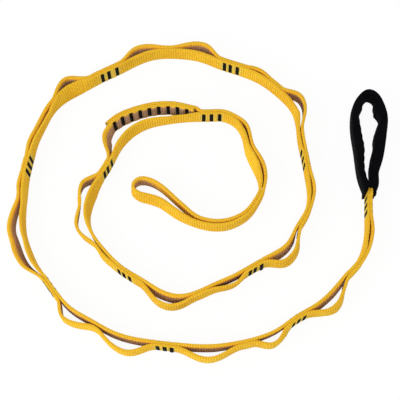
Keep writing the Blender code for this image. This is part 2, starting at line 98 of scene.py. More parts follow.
INNER_ROUTE_SHARES = [
    (0.448, 0.027), (0.444, -0.027), (0.442, -0.073), (0.435, -0.117), (0.417, -0.162),
    (0.375, -0.213), (0.332, -0.261), (0.290, -0.295), (0.245, -0.321), (0.201, -0.353),
    (0.154, -0.374), (0.093, -0.389), (0.027, -0.397), (-0.033, -0.395), (-0.100, -0.388),
    (-0.163, -0.379), (-0.220, -0.362), (-0.279, -0.330), (-0.333, -0.297), (-0.373, -0.252),
    (-0.415, -0.193), (-0.443, -0.143), (-0.463, -0.092), (-0.470, -0.043), (-0.468, 0.010),
    (-0.466, 0.057), (-0.457, 0.117), (-0.447, 0.170), (-0.428, 0.220), (-0.408, 0.263),
    (-0.380, 0.295), (-0.337, 0.323), (-0.280, 0.358), (-0.223, 0.388), (-0.170, 0.418),
    (-0.127, 0.433), (-0.067, 0.436), (0.000, 0.426), (0.060, 0.401), (0.113, 0.382),
    (0.173, 0.353), (0.223, 0.310), (0.255, 0.270), (0.268, 0.223), (0.271, 0.180),
    (0.279, 0.127), (0.288, 0.067), (0.292, 0.017), (0.280, -0.037), (0.251, -0.086),
    (0.228, -0.127), (0.190, -0.155), (0.140, -0.183), (0.087, -0.214), (0.040, -0.235),
    (-0.010, -0.258), (-0.053, -0.267), (-0.097, -0.256), (-0.142, -0.229), (-0.207, -0.187),
    (-0.248, -0.146), (-0.280, -0.100), (-0.297, -0.050), (-0.291, 0.000), (-0.274, 0.046),
    (-0.245, 0.097), (-0.222, 0.148), (-0.192, 0.188), (-0.150, 0.217), (-0.093, 0.233),
    (-0.027, 0.241), (0.033, 0.242), (0.070, 0.240), (0.101, 0.220), (0.119, 0.186),
    (0.125, 0.150), (0.140, 0.107), (0.157, 0.067), (0.162, 0.033), (0.150, 0.002),
    (0.127, -0.032), (0.093, -0.056), (0.057, -0.067), (0.027, -0.067),
]
TACK_PLACE_SHARES = [
    0.0104, 0.0960, 0.1752, 0.2526, 0.3323, 0.4143, 0.4955, 0.5789, 0.6608, 0.7429, 0.8178, 0.8969,
]
# The step from the first bar to the second and on to the third, by group, in BAR_SPACING.
BAR_STEP_SHARES = [
    (1.05, 1.10), (1.00, 1.00), (1.00, 1.00), (1.00, 1.00), (1.10, 1.05), (1.12, 1.38),
    (0.97, 1.15), (1.10, 1.10), (1.08, 0.85), (1.00, 0.85), (0.92, 1.18), (1.18, 1.30),
]
# How far the strand leans: a length along the route, and how far its upper and its lower edge
# stand out there to its left, in millimetres. Nothing leans between the rows of zeros.
INNER_LEAN_MM = [
    (0, 0.0, 0.0), (42, 0.0, 0.0), (54, 1.6, 0.0), (68, 1.6, 0.0), (74, 0.0, 0.0), (81, 0.0, 2.0),
    (92, 0.0, 2.5), (112, 0.0, 2.0), (124, 0.0, 0.0), (134, 0.0, 0.0), (142, 0.0, -0.8),
    (160, 0.0, -0.6), (172, 0.0, 0.2), (185, 0.0, 0.5), (196, 0.0, 1.1), (226, 0.0, 1.1),
    (238, 0.0, 0.0), (252, 0.0, 0.8), (300, 0.0, 0.8), (325, 0.0, 0.4), (336, 0.0, 0.0),
    (345, 0.0, 0.0), (353, 1.8, 0.3), (362, 2.9, 0.7), (372, 2.4, 0.4), (380, 1.2, 0.2),
    (388, 1.2, 0.1), (399, 0.8, -0.3), (408, 0.2, -0.2), (412, 0.5, 0.0),
    (422, 1.5, 0.0), (446, 1.3, 0.0), (460, 0.2, 0.0), (468, -0.6, 0.0),
    (478, -1.6, 0.0), (492, -2.2, 0.0), (500, -0.6, 0.0), (503, 0.0, 0.0), (510, 3.0, 0.0),
    (519, 4.4, 0.0), (531, 3.6, 0.0), (545, 0.0, 0.0), (728, 0.0, 0.0), (736, 1.3, 0.0),
    (743, 0.0, 0.0), (750, -0.8, 0.0), (764, -0.8, 0.0), (770, 0.0, 0.0), (836, 0.0, 0.0),
    (845, 0.0, 2.0), (860, 0.0, 2.6), (874, 0.0, 2.2), (882, 0.0, 0.0), (930, 0.0, 0.0),
    (938, 0.0, 1.0), (946, 0.0, 2.0), (965, 0.0, 2.2), (975, 0.0, 1.0), (982, 0.0, 0.0),
    (1018, 0.0, 0.0), (1045, 1.3, 0.0), (1058, 2.3, -0.8), (1070, 2.2, -1.5), (1080, 0.9, -0.7),
    (1087, 0.0, 0.0), (1105, 0.0, 0.0), (1116, 1.1, 0.0), (1130, 1.7, 0.0), (1142, 1.2, 0.0),
    (1152, 0.0, 0.0), (1163, -1.4, 0.0), (1179, -1.6, 0.0), (1189, 0.0, 0.0),
]
# The outer strand's lean, told in the same way
OUTER_LEAN_MM = [
    (0, 0.0, 0.0), (28, 0.0, 0.0), (36, 0.0, -1.6), (52, 0.0, -1.6), (62, 0.0, 0.0),
    (84, 0.0, 0.0), (92, -1.5, 1.0), (100, -1.5, 1.2), (108, 0.0, 0.0), (134, 0.0, 0.0),
    (142, -0.8, 1.2), (150, 0.0, 0.0), (342, 0.0, 0.0), (352, 1.0, -1.5), (362, 2.0, -2.5),
    (375, 2.3, -2.6), (388, 1.0, -2.5), (400, 0.0, -1.5), (412, 0.5, 0.0), (425, 1.5, 0.0),
    (446, 1.3, 0.0), (460, 0.2, 0.0), (470, 0.0, 0.0), (794, 0.0, 0.0), (801, 0.0, -1.5),
    (814, 0.0, -1.5), (822, 0.0, 0.0), (840, 0.0, 0.0), (847, -1.6, 0.6), (857, -1.6, 0.6),
    (866, 0.0, 0.0), (891, 0.0, 0.0), (899, 1.6, 0.0), (915, 1.4, 0.0), (926, 0.0, 0.0),
    (1018, 0.0, 0.0), (1026, 0.0, -1.3), (1040, 0.0, -1.3), (1048, 0.0, 1.0), (1057, 0.0, 2.2),
    (1066, 0.0, 2.2), (1074, 0.0, 1.0), (1080, 0.0, 0.0), (1103, 0.0, 0.0), (1108, 0.3, -2.4),
    (1114, 0.8, -4.2), (1119, 1.3, -2.6), (1125, 2.0, 0.0), (1134, 2.0, 0.0), (1147, 1.1, 0.0),
    (1172, 1.1, 0.0), (1183, 0.4, 0.0), (1189, 0.0, 0.0),
]
# The bulges of the outer strand at each pocket, in shares of the pocket's length: the middle of
# one, how far it reaches before and after that, and its height.
POCKET_BULGE_SHARES = [
    [(0.200, 0.13, 0.43, 0.014), (0.748, 0.22, 0.19, 0.0745)],
    [(0.239, 0.16, 0.13, 0.054), (0.691, 0.25, 0.24, 0.067)],
    [(0.272, 0.21, 0.30, 0.081), (0.754, 0.28, 0.13, 0.066)],
    [(0.262, 0.20, 0.20, 0.064), (0.490, 0.25, 0.30, 0.075), (0.820, 0.14, 0.12, 0.011)],
    [(0.150, 0.09, 0.15, 0.010), (0.685, 0.17, 0.18, 0.083)],
    [(0.275, 0.17, 0.22, 0.048), (0.753, 0.25, 0.16, 0.061)],
    [(0.211, 0.12, 0.13, 0.017), (0.558, 0.14, 0.22, 0.065)],
    [(0.238, 0.15, 0.15, 0.012), (0.768, 0.25, 0.165, 0.074)],
    [(0.190, 0.12, 0.16, 0.021), (0.652, 0.20, 0.23, 0.057)],
    [(0.230, 0.15, 0.15, 0.010), (0.495, 0.22, 0.20, 0.074), (0.789, 0.25, 0.14, 0.081)],
    [(0.239, 0.18, 0.55, 0.113), (0.680, 0.30, 0.25, 0.046)],
]
FOLD_SETBACK = 0.0005
KNUCKLE_RADIUS = TAPE_THICKNESS + FACE_GAP / 2


def smooth_line(points):
    """Fine points along the natural cubic spline through these points."""
    points = np.array(points, float)
    steps = np.hypot(*np.diff(points, axis=0).T)
    count = len(points)
    system = np.zeros((count, count))
    right = np.zeros((count, 2))
    system[0, 0] = system[-1, -1] = 1.0
    for i in range(1, count - 1):
        system[i, i - 1 : i + 2] = steps[i - 1], 2 * (steps[i - 1] + steps[i]), steps[i]
        right[i] = 6 * (points[i + 1] - points[i]) / steps[i]
        right[i] -= 6 * (points[i] - points[i - 1]) / steps[i - 1]
    bends = np.linalg.solve(system, right)
    line = []
    for i in range(count - 1):
        after = np.linspace(0.0, steps[i], SPLINE_STEPS, endpoint=False)[:, None]
        before = steps[i] - after
        cubic = (bends[i] * before**3 + bends[i + 1] * after**3) / (6 * steps[i])
        start = (points[i] / steps[i] - bends[i] * steps[i] / 6) * before
        end = (points[i + 1] / steps[i] - bends[i + 1] * steps[i] / 6) * after
        line.append(cubic + start + end)
    line.append(points[-1:])
    return np.concatenate(line)


def unit(vectors):
    """These vectors, seen from above, each made one long."""
    return vectors / np.hypot(vectors[..., 0], vectors[..., 1])[..., None]


def lengths_along(line):
    return np.concatenate([[0.0], np.cumsum(np.hypot(*np.diff(line, axis=0).T))])


def fine_places(start, end):
    return np.linspace(start, end, math.ceil(abs(end - start) / FINE_STEP) + 1)


class Lane:
    """A line seen from above, read by the length along it and the offset to its left."""

    def __init__(self, line):
        self.line = line
        self.along = lengths_along(line)
        self.length = self.along[-1]
        self.slope = unit(np.gradient(line, self.along, axis=0))

    def read(self, values, places):
        return np.stack([np.interp(places, self.along, values[:, k]) for k in (0, 1)], axis=-1)

    def heading(self, place):
        return unit(self.read(self.slope, place))

    def left(self, places):
        slope = self.read(self.slope, places)
        return np.stack([-slope[..., 1], slope[..., 0]], axis=-1)

    def at(self, places, offsets):
        return self.read(self.line, places) + self.left(places) * np.asarray(offsets)[..., None]


def finished(mesh, name):
    data = bpy.data.meshes.new(name)
    mesh.to_mesh(data)
    mesh.free()
    return data


def flat_grid(name, along, around):
    """A flat grid to be rolled up, and the share along it and around it of each of its points."""
    mesh = bmesh.new()
    bmesh.ops.create_grid(mesh, x_segments=along, y_segments=around, size=1.0)
    data = finished(mesh, name)
    grid = np.empty(len(data.vertices) * 3)
    data.vertices.foreach_get("co", grid)
    grid = (grid.reshape(-1, 3) + 1) / 2
    return data, grid[:, 0], grid[:, 1]


def rolled_up(data, points, values, close_ends):
    """The grid moved to these points, joined where its long edges meet, and its values kept."""
    data.vertices.foreach_set("co", points.ravel())
    for key, value in values.items():
        layer = data.attributes.new(key, "FLOAT", "POINT")
        layer.data.foreach_set("value", value)
    mesh = bmesh.new()
    mesh.from_mesh(data)
    bmesh.ops.remove_doubles(mesh, verts=mesh.verts, dist=WELD_GAP)
    if close_ends:
        open_edges = [edge for edge in mesh.edges if edge.is_boundary]
        bmesh.ops.holes_fill(mesh, edges=open_edges, sides=0)
    bmesh.ops.recalc_face_normals(mesh, faces=mesh.faces)
    for face in mesh.faces:
        face.smooth = True
    mesh.to_mesh(data)
    mesh.free()
    return data


def tape_section():
    """The tape's section as points in order round it: thickness first, then height."""
    mesh = bmesh.new()
    half = (WOVEN_THICKNESS / 2, TAPE_WIDTH / 2, 1.0)
    bmesh.ops.create_grid(mesh, x_segments=1, y_segments=1, size=1.0)
    bmesh.ops.scale(mesh, vec=half, verts=mesh.verts)
    bmesh.ops.bevel(
        mesh, geom=mesh.verts[:], offset=SELVEDGE_ROUNDING, segments=2, profile=0.5,
        affect="VERTICES", material=-1,
    )
    long_edges = [edge for edge in mesh.edges if edge.calc_length() > TAPE_WIDTH / 2]
    bmesh.ops.subdivide_edges(mesh, edges=long_edges, cuts=FACE_CUTS)
    outline = bmesh.ops.dissolve_faces(mesh, faces=mesh.faces[:])["region"][0]
    ring = [(vert.co.x, vert.co.y) for vert in outline.verts]
    mesh.free()
    return np.array(ring)


def leaning(places, rows):
    """The lean of the upper and the lower edge at these lengths along the route, in metres."""
    along, upper, lower = np.array(rows).T / 1000
    return np.array([np.interp(places, along, upper), np.interp(places, along, lower)])


def lay_tape(
    name, line, side, start=0.0, sealed=(False, False), pressed=(), lean=None,
    painted_light_above=((0.0,), (BROWN_TOP_SHARE,)),
):
    """A stretch of tape on edge along a line: a grid rolled round the section, with its ribs.

    The side that looks into the ring is 1 for its left face and -1 for its right face. Sealed
    tells which ends are raw ones, pressed where tacks dent it and from which side, and lean how
    far the two edges stand out to the left.
    """
    lane = Lane(line)
    count = max(RINGS_PER_RIB, round(lane.length / RIB_PITCH * RINGS_PER_RIB))
    places = np.linspace(0.0, lane.length, count + 1)
    ring = tape_section()
    out = np.roll(ring, -1, axis=0) - np.roll(ring, 1, axis=0)
    out = unit(np.stack([out[:, 1], -out[:, 0]], axis=1))
    if (out * ring).sum() < 0:
        out = -out
    data, share, around = flat_grid(name, count, len(ring))
    step = np.rint(share * count).astype(int)
    turn = np.rint(around * len(ring)).astype(int) % len(ring)
    here = places[step]
    section = ring[turn]
    near_tack, sunk = np.zeros_like(here), np.zeros_like(here)
    for place, face in pressed:
        pale = np.exp(-(((here - place) / PALE_REACH) ** 4))
        dent = np.exp(-(((here - place) / PRESS_REACH) ** 4))
        near_tack = np.maximum(near_tack, pale)
        sunk = np.maximum(sunk, TACK_PRESS * dent * np.clip(face * out[turn, 0], 0.0, 1.0))
    groove = 0.5 - 0.5 * np.cos(2 * math.pi * (start + here) / RIB_PITCH)
    faces_in = np.clip(side * out[turn, 0], 0.0, 1.0)
    depth_here = np.abs(out[turn, 0]) * (1 - RIB_EASE_INSIDE * faces_in)
    depth_here += RIB_SHARE_ON_EDGES * np.abs(out[turn, 1])
    sunk += RIB_DEPTH * groove * (1 - RIB_EASE_AT_TACKS * near_tack) * np.minimum(depth_here, 1.0)
    section = section - out[turn] * sunk[:, None]
    ends = np.zeros_like(here)
    for closed, gap in zip(sealed, (here, lane.length - here)):
        if closed:
            ends = np.maximum(ends, np.clip(1 - gap / SEALED_LENGTH, 0.0, 1.0))
    section[:, 0] *= 1 + SEALED_SWELL * ends
    middle, left = lane.at(here, 0.0), unit(lane.left(here))
    upper = lower = 0.0
    if lean is not None:
        upper, lower = (np.interp(here, lane.along, edge) for edge in lean)
    height = section[:, 1] + TAPE_WIDTH / 2
    out_here = lower + (upper - lower) * height / TAPE_WIDTH
    flat = middle + left * (section[:, 0] + out_here)[:, None]
    height = height * np.sqrt(1 - ((upper - lower) / TAPE_WIDTH) ** 2)
    across = ring[turn, 1] / (TAPE_WIDTH / 2)
    facing = ring[turn, 0] / (WOVEN_THICKNESS / 2)
    values = {
        "tape_along": start + here,
        "tape_across": across,
        "ring_inside": np.clip(side * facing, 0.0, 1.0),
        "painted_light_above": np.interp(here, *painted_light_above),
        "near_tack": near_tack,
        "sealed_end": ends,
    }
    return rolled_up(data, np.column_stack([flat, height]), values, close_ends=True)


def show(data, look):
    made = bpy.data.objects.new(data.name, data)
    bpy.context.scene.collection.objects.link(made)
    data.materials.append(look)
    return made


def link(tree, source, target):
    tree.links.new(source, target)


def mixed(tree, first, second, share):
    """One colour blended into another; each is a socket or a plain colour."""
    node = tree.nodes.new("ShaderNodeMix")
    node.data_type = "RGBA"
    for number, value in zip((0, 6, 7), (share, first, second)):
        socket = node.inputs[number]
        if isinstance(value, bpy.types.NodeSocket):
            link(tree, value, socket)
        elif isinstance(value, tuple):
            socket.default_value = (*value, 1.0)
        else:
            socket.default_value = value
    return node.outputs[2]


def sums(tree, kind, *values):
    """A math node; each input is a socket or a plain number."""
    node = tree.nodes.new("ShaderNodeMath")
    node.operation = kind
    for socket, value in zip(node.inputs, values):
        if isinstance(value, bpy.types.NodeSocket):
            link(tree, value, socket)
        else:
            socket.default_value = value
    return node.outputs[0]


def times(tree, *values):
    return sums(tree, "MULTIPLY", *values)


def attribute(tree, name):
    node = tree.nodes.new("ShaderNodeAttribute")
    node.attribute_name = name
    return node.outputs["Fac"]


def noise(tree, vector, scale, detail):
    node = tree.nodes.new("ShaderNodeTexNoise")
    link(tree, vector, node.inputs["Vector"])
    node.inputs["Scale"].default_value = scale
    node.inputs["Detail"].default_value = detail
    node.inputs["Roughness"].default_value = NOISE_ROUGHNESS
    return node.outputs["Fac"]


def ramp(tree, value, low, high):
    """The share of the way from low to high, held between 0 and 1."""
    node = tree.nodes.new("ShaderNodeMapRange")
    node.interpolation_type = "SMOOTHSTEP"
    node.inputs["From Min"].default_value = low
    node.inputs["From Max"].default_value = high
    link(tree, value, node.inputs["Value"])
    return node.outputs["Result"]


def new_material(name):
    made = bpy.data.materials.new(name)
    made.use_nodes = True
    return made, made.node_tree, made.node_tree.nodes["Principled BSDF"]


def raised(tree, shader, height, strength, distance):
    """The fine relief of the cloth, too small to be in the mesh."""
    bump = tree.nodes.new("ShaderNodeBump")
    link(tree, height, bump.inputs["Height"])
    bump.inputs["Strength"].default_value = strength
    bump.inputs["Distance"].default_value = distance
    link(tree, bump.outputs["Normal"], shader.inputs["Normal"])


def webbing_material():
    made, tree, shader = new_material("golden_ribbed_webbing")
    along, across = attribute(tree, "tape_along"), attribute(tree, "tape_across")
    inside, tack = attribute(tree, "ring_inside"), attribute(tree, "near_tack")
    sealed, painted_light_above = attribute(tree, "sealed_end"), attribute(tree, "painted_light_above")
    place = tree.nodes.new("ShaderNodeCombineXYZ")
    link(tree, along, place.inputs[0])
    link(tree, times(tree, across, TAPE_WIDTH / 2), place.inputs[1])
    link(tree, times(tree, inside, FACES_APART), place.inputs[2])
    flat = place.outputs[0]

    # Ribs: painted shade darkens the grooves between them, so that their crests look pale
    rib = sums(tree, "COSINE", times(tree, along, 2 * math.pi / RIB_PITCH))
    groove = ramp(tree, sums(tree, "MULTIPLY_ADD", rib, -0.5, 0.5), 0.35, 1.0)
    broad = noise(tree, flat, scale=28.0, detail=4.0)
    fine = noise(tree, flat, scale=900.0, detail=2.0)
    patches = ramp(tree, broad, 0.35, 0.65)
    yellow = mixed(tree, GOLD_DEEP, GOLD_BRIGHT, patches)
    yellow = mixed(tree, yellow, GOLD_GROOVE_PAINTED_SHADE, times(tree, groove, 0.50))
    yellow = mixed(tree, yellow, GOLD_FIBRE, times(tree, ramp(tree, fine, 0.52, 0.75), 0.35))

    # Selvedges: the folded edges are a little darker; between the tacks the tape is pale and olive
    edge = sums(tree, "ABSOLUTE", across)
    rim = ramp(tree, edge, 0.945, 0.99)
    within = sums(tree, "SUBTRACT", 1.0, ramp(tree, edge, 0.80, 0.90))
    tacked = times(tree, tack, within)
    yellow = mixed(tree, yellow, GOLD_SELVEDGE, times(tree, rim, 0.55))
    yellow = mixed(tree, yellow, GOLD_TACKED, times(tree, tacked, 0.62))

    # The side that faces into the ring is brown between borders of painted light: a gold lighter
    # and more orange than outside, as if light shone through the tape onto that face
    brown = mixed(tree, BROWN_DEEP, BROWN_PALE, patches)
    # Painted shade in the rib grooves of the brown side
    brown = mixed(tree, brown, BROWN_GROOVE_PAINTED_SHADE, times(tree, groove, 0.45))
    brown = mixed(tree, brown, BROWN_FIBRE, times(tree, ramp(tree, fine, 0.55, 0.75), 0.5))
    brown = mixed(tree, brown, BROWN_TACKED, times(tree, tacked, 0.55))
    # Brown up to the given height; above it, and below the foot, the inward face keeps its painted
    # light
    above = ramp(tree, sums(tree, "SUBTRACT", across, painted_light_above), -0.12, 0.12)
    below = ramp(tree, across, -BROWN_FOOT_SHARE - 0.05, -BROWN_FOOT_SHARE + 0.05)
    banded = times(tree, below, sums(tree, "SUBTRACT", 1.0, above))
    facing_in = ramp(tree, inside, 0.93, 0.985)
    # Painted light on the inward borders, with painted shade in their rib grooves
    painted_light_border = mixed(tree, AMBER_PAINTED_LIGHT, AMBER_GROOVE_PAINTED_SHADE, times(tree, groove, 0.50))
    yellow = mixed(tree, yellow, painted_light_border, times(tree, facing_in, 0.85))
    colour = mixed(tree, yellow, brown, times(tree, facing_in, banded))
    colour = mixed(tree, colour, SINGED, times(tree, sealed, 0.8))
    link(tree, colour, shader.inputs["Base Color"])
    link(tree, sums(tree, "MULTIPLY_ADD", fine, 0.2, 0.7), shader.inputs["Roughness"])
    shader.inputs["Specular IOR Level"].default_value = 0.12
    shader.inputs["Subsurface Weight"].default_value = 0.22
    shader.inputs["Subsurface Radius"].default_value = (1.0, 0.55, 0.2)
    shader.inputs["Subsurface Scale"].default_value = 0.0025

    # Warp yarns: fine lines along the tape, under the ribs
    yarn = sums(tree, "SINE", times(tree, across, math.pi * TAPE_WIDTH / YARN_PITCH))
    height = sums(tree, "MULTIPLY_ADD", yarn, 0.35, times(tree, fine, 0.8))
    height = sums(tree, "SUBTRACT", height, times(tree, groove, 0.6))
    raised(tree, shader, height, strength=0.55, distance=0.00015)
    return made


webbing_look = webbing_material()
plain_route = Lane(smooth_line([(x * COIL_SPAN, y * COIL_SPAN) for x, y in INNER_ROUTE_SHARES]))
tacks = [share * plain_route.length for share in TACK_PLACE_SHARES]
groups = [
    (tack - before * BAR_SPACING, tack, tack + after * BAR_SPACING)
    for tack, (before, after) in zip(tacks, BAR_STEP_SHARES)
]
fold_reach = BAR_WIDTH / 2 + FOLD_SETBACK + FACE_GAP + KNUCKLE_RADIUS
folds = (groups[0][0] - fold_reach, groups[-1][-1] + fold_reach)
hinges = {joint["name"]: np.array(joint["pos_m"][:2]) for joint in frame["joints"]}
coil_shift = hinges["harness_fold"] - plain_route.at(folds[0], LANE_PITCH / 2)
route = Lane(plain_route.line + coil_shift)


def nearest(line, points):
    """How far along a line it comes nearest to each of these points."""
    along = lengths_along(line)
    return [along[np.hypot(*(line - point).T).argmin()] for point in points]


def pressed_on(line, bars, face):
    """Where along a line these bars press it, with 1 for its left face or -1 for its right."""
    return [(along, face) for along in nearest(line, bars)]


def bulge(share, shares):
    """How far the slack strand stands off at a share of its stretch: the sum of its bulges."""
    total = np.zeros_like(share)
    for middle, rise, fall, height in shares:
        reach = np.where(share < middle, rise, fall)
        away = np.clip(np.abs(share - middle) / reach, 0.0, 1.0)
        total += height * np.cos(away * math.pi / 2) ** 2
    return total


def slack(places):
    """How far the outer strand stands off from the inner one at these lengths along the route."""
    total = np.zeros_like(places)
    for start, end, bulges in zip(tacks, tacks[1:], POCKET_BULGE_SHARES):
        total += bulge((places - start) / (end - start), bulges) * (end - start)
    return total


bar_middles = [route.at(place, LANE_PITCH / 2) for group in groups for place in group]
inner_places = fine_places(tacks[0], tacks[-1])
inner_line = route.at(inner_places, 0.0)
# The inner strand leans out no further than the outer strand leaves it room
room = slack(inner_places) + leaning(inner_places, OUTER_LEAN_MM)
inner_lean = np.minimum(leaning(inner_places, INNER_LEAN_MM), np.maximum(room, 0.0))
inner = show(
    lay_tape(
        "inner_strand_webbing", inner_line, 1, lean=inner_lean,
        pressed=pressed_on(inner_line, bar_middles, -1),
    ),
    webbing_look,
)
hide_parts(*[name for name in frame["nodes"] if name.startswith("inner_strand")])
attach(inner, "chain")

# Outer strand and splice: the slack side of the ring bulges between the groups, so that each bulge
# is a pocket for a carabiner. In the last one the tape's ends, sealed by heat, lie over each
# other, and the outer end steps down beside the inner strand before the last group of tacks.
SPLICE_RAW_END_SHARE = 0.272
SPLICE_STEP = 0.006
SPLICE_BARS = 9
# How high the brown reaches on the splice; above it the inward face is painted light
SPLICE_BROWN_TOP_SHARE = 0.70
SPLICE_FIRST_BAR_SETBACK = 0.0039
SPLICE_LAST_BAR_SETBACK = 0.0061
splice_start, splice_length = tacks[-2], tacks[-1] - tacks[-2]
raw_end = splice_start + SPLICE_RAW_END_SHARE * splice_length
tucked_end = groups[-1][0] - BAR_WIDTH / 2 - SPLICE_STEP - FACE_GAP


def slack_line(start, end, layers_out=None):
    """The outer strand from one place on the route to another, or a strand laid over it."""
    places = fine_places(start, end)
    offsets = LANE_PITCH + slack(places)
    if layers_out:
        offsets = offsets + LANE_PITCH * layers_out(places)
    return route.at(places, offsets)


def stepped_in(places):
    """1 where the outer end lies over the tucked one, 0 where it has stepped down past it."""
    share = np.clip((places - tucked_end - FACE_GAP) / SPLICE_STEP, 0.0, 1.0)
    return 0.5 + 0.5 * np.cos(share * math.pi)


splice_places = fine_places(tacks[-2], tacks[-1])
splice_lane = Lane(route.at(splice_places, LANE_PITCH + slack(splice_places)))
splice_ends = [
    np.interp(place, splice_places, splice_lane.along)
    for place in (raw_end + SPLICE_FIRST_BAR_SETBACK, tucked_end - SPLICE_LAST_BAR_SETBACK)
]
splice_bars = [
    (
        splice_lane.at(along, LANE_PITCH / 2),
        splice_lane.heading(along),
        leaning(np.interp(along, splice_lane.along, splice_places), OUTER_LEAN_MM),
    )
    for along in np.linspace(*splice_ends, SPLICE_BARS)
]
splice_middles = [bar[0] for bar in splice_bars]
outer_line = slack_line(tacks[0], tucked_end)
outer_places = fine_places(tacks[0], tucked_end)
outer_lean = np.maximum(leaning(outer_places, OUTER_LEAN_MM), -slack(outer_places))
splice_along = lengths_along(outer_line)[-1] + raw_end - tucked_end
outer_painted_light_above = (
    (splice_along - BAR_SPACING, splice_along), (BROWN_TOP_SHARE, SPLICE_BROWN_TOP_SHARE)
)
outer = show(
    lay_tape(
        "outer_strand_webbing", outer_line, -1, sealed=(False, True), lean=outer_lean,
        painted_light_above=outer_painted_light_above,
        pressed=[
            *pressed_on(outer_line, bar_middles[: -len(groups[-1])], 1),
            *pressed_on(outer_line, splice_middles, -1),
        ],
    ),
    webbing_look,
)
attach(outer, "chain")
over_line = slack_line(raw_end, tacks[-1], stepped_in)
over = show(
    lay_tape(
        "splice_outer_end_webbing", over_line, -1, sealed=(True, False),
        lean=leaning(fine_places(raw_end, tacks[-1]), OUTER_LEAN_MM),
        pressed=pressed_on(over_line, [*splice_middles, *bar_middles[-len(groups[-1]) :]], 1),
    ),
    webbing_look,
)
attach(over, "chain")
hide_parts(*[name for name in frame["nodes"] if name.startswith("outer_strand")])
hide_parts("splice_tucked_end")
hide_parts("splice_outer_end")

# Harness loop: the tape runs on from both strands past the first group and over the fold beside it,
# out round a short loop and back.
HARNESS_LOOP_SHARES = [
    (0.435, 0.067), (0.432, 0.105), (0.429, 0.148), (0.425, 0.184), (0.425, 0.231),
    (0.432, 0.267), (0.446, 0.291), (0.464, 0.303), (0.480, 0.295), (0.492, 0.272),
    (0.499, 0.237), (0.494, 0.196), (0.485, 0.148), (0.474, 0.102), (0.464, 0.067),
]
SLEEVE_WALL = 0.0006
SLEEVE_CLEARANCE = 0.0005
SLEEVE_MOUTH_SETBACK = 0.0055
# The curve through the loop keeps to every sixth of the fine points on the strands
LEG_STRIDE = 6
mouth_width = TAPE_THICKNESS + 2 * (SLEEVE_CLEARANCE + SLEEVE_WALL)
ahead = -route.heading(folds[0])
outward = np.array([ahead[1], -ahead[0]])
# Each leg comes from the first group, runs straight over the fold and into the sleeve's mouth
legs = []
for side in (-1, 1):
    lane_start = hinges["harness_fold"] + outward * side * LANE_PITCH / 2
    apart = outward * side * (mouth_width + FACE_GAP) / 2
    mouth = hinges["harness_fold"] + ahead * SLEEVE_MOUTH_SETBACK + apart
    straight = [lane_start + ahead * KNUCKLE_RADIUS * share for share in (0.0, 1.0)]
    in_chain = route.at(fine_places(tacks[0], folds[0]), LANE_PITCH / 2 * (1 + side))
    legs.append([*in_chain[:-1:LEG_STRIDE], *straight, mouth])
loop_points = [tuple(np.array(point) * COIL_SPAN + coil_shift) for point in HARNESS_LOOP_SHARES]
harness_line = smooth_line([*legs[0], *loop_points, *legs[1][::-1]])
harness_pressed = [
    press
    for lane in (0.0, LANE_PITCH)
    for press in pressed_on(harness_line, [route.at(place, lane) for place in groups[0][:2]], 1)
]
harness = show(
    lay_tape("harness_loop_webbing_folding", harness_line, -1, pressed=harness_pressed),
    webbing_look,
)
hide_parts("harness_loop_webbing")
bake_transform(harness)

# End loop: past the last group both strands run on as one long plain loop, which folds sideways
# beside the group and ends in a round bight in the middle of the coil.
BIGHT_SHARES = [
    (-0.003, -0.057), (-0.032, -0.033), (-0.067, 0.000), (-0.103, 0.0335), (-0.1385, 0.0525),
    (-0.1655, 0.052), (-0.1785, 0.0355), (-0.1675, 0.0145), (-0.137, 0.001), (-0.103, -0.014),
    (-0.070, -0.038), (-0.032, -0.058),
]
# The loop's lean, as for the strands: by the length along it from the last group of tacks out
# round the bight, and by the length from that group along the run that comes back to it.
LOOP_LEAN_MM = [
    (0, 0.0, 0.0), (28, 0.0, 0.0), (44, 1.4, 0.0), (54, 3.2, 0.0), (63, 3.4, 0.0), (73, 1.4, 0.0),
    (82, 0.0, 0.0), (112, 0.0, 0.0), (126, -0.7, -0.7), (142, -1.0, -1.0), (156, 0.0, 0.0),
    (205, 0.0, 0.0), (218, 0.0, -1.2), (228, 1.2, -0.6), (242, 2.3, 0.0),
    (258, 2.0, 0.0), (272, 0.0, 0.0),
]
RETURN_LEAN_MM = [
    (0, 0.0, 0.0), (50, 0.0, 0.0), (60, 0.0, 1.6), (74, 0.0, 2.4), (86, 0.0, 0.8), (92, 0.0, 0.0),
]
RETURN_BULGE_SHARES = [
    (0.150, 0.10, 0.13, 0.018), (0.410, 0.28, 0.20, 0.038), (0.850, 0.25, 0.30, 0.0035),
]
END_ROOT = 0.020
# The curve through this loop keeps to every 24th of the fine points on its two long runs
RUN_STRIDE = 24
# How high the brown reaches, by the length from the last group of tacks. Above it the face is
# painted light, which follows where light falls: on the far side of the bight the golden border's
# painted light covers nearly the whole height.
LOOP_BROWN_PLACES = (0.140, 0.152, 0.162, 0.172, 0.186, 0.202)
LOOP_BROWN_TOP_SHARES = (0.18, -0.55, -0.65, -1.00, -1.00, 0.40)
run_places = fine_places(tacks[-1], route.length)
run_length = route.length - folds[1]
slack_back = bulge((run_places - folds[1]) / run_length, RETURN_BULGE_SHARES) * run_length
slack_back[run_places < folds[1]] = 0.0
outgoing = route.at(run_places, 0.0)[::RUN_STRIDE]
back = route.at(run_places, LANE_PITCH + slack_back)[::RUN_STRIDE][::-1]
bight = [tuple(np.array(point) * COIL_SPAN + coil_shift) for point in BIGHT_SHARES]
end_line = smooth_line([*outgoing, *bight, *back])
end_length = lengths_along(end_line)[-1]
root = folds[1] - tacks[-1] + END_ROOT
tack_pressed = [(0.0, -1), (groups[-1][-1] - tacks[-1], -1)]


def between(line, start, end):
    """The stretch of a fine line from one length along it to another."""
    along = lengths_along(line)
    inside = line[(along > start) & (along < end)]
    tips = [[np.interp(place, along, line[:, k]) for k in (0, 1)] for place in (start, end)]
    return np.concatenate([tips[:1], inside, tips[1:]])
